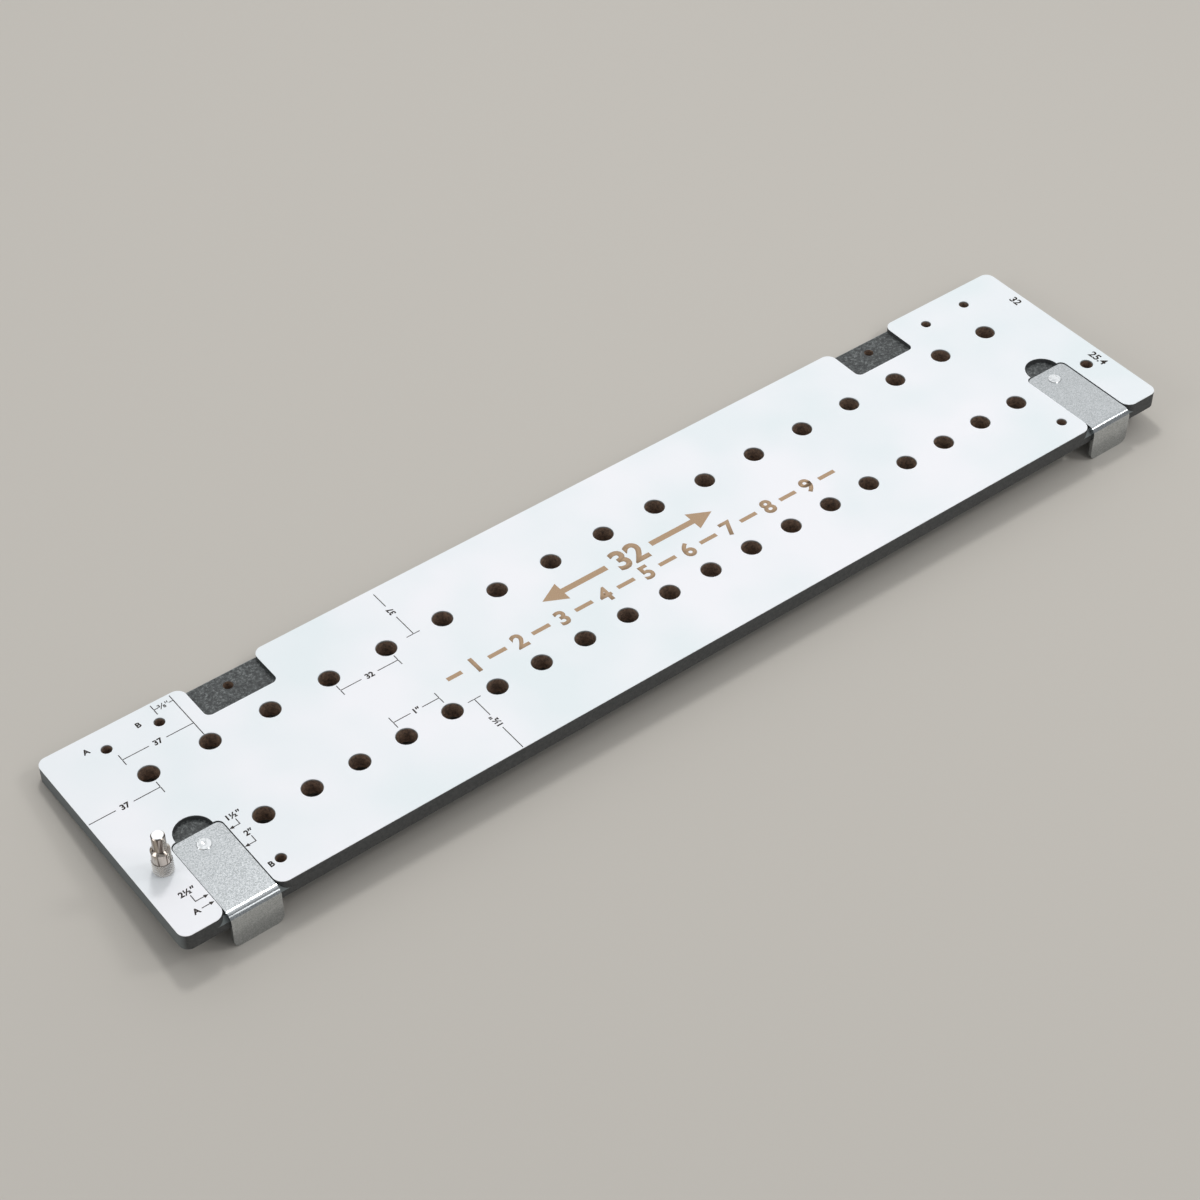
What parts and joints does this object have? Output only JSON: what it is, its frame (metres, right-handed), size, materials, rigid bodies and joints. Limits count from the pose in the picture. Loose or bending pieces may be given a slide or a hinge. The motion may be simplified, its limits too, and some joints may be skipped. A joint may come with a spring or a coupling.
{
  "type": "shelf pin drilling template",
  "caption": "Flat drilling template with metric and inch rows of guide holes, two seated fence brackets under one long edge and a knurled index pin.",
  "frame": {"origin": "centre of the board's outline on its flat underside", "axes": "+X along the board's length, +Y towards the metric edge, +Z out of the white face"},
  "size_m": [0.586, 0.129, 0.0438],
  "materials": {
    "black_board": "machined satin",
    "white_face": "satin laminate",
    "bracket_steel": "satin zinc",
    "stud_steel": "turned",
    "magnet_nickel": "nickel plate",
    "pin_steel": "polished, knurled grip"
  },
  "bodies": {
    "template": {"template_board": "black_board", "white_face_sheet": "white_face", "left_slot_outer_magnet": "magnet_nickel", "left_slot_inner_magnet": "magnet_nickel", "right_slot_outer_magnet": "magnet_nickel", "right_slot_inner_magnet": "magnet_nickel", "index_pin": "pin_steel"},
    "left_bracket": {"left_fence_bracket": "bracket_steel", "left_locating_stud": "stud_steel"},
    "right_bracket": {"right_fence_bracket": "bracket_steel", "right_locating_stud": "stud_steel"}
  },
  "joints": [
    {"name": "left_bracket_lift", "type": "slide", "parent": "template", "child": "left_bracket", "axis": [0, 0, 1], "range_m": [0, 0.012]},
    {"name": "right_bracket_lift", "type": "slide", "parent": "template", "child": "right_bracket", "axis": [0, 0, 1], "range_m": [0, 0.012]}
  ]
}
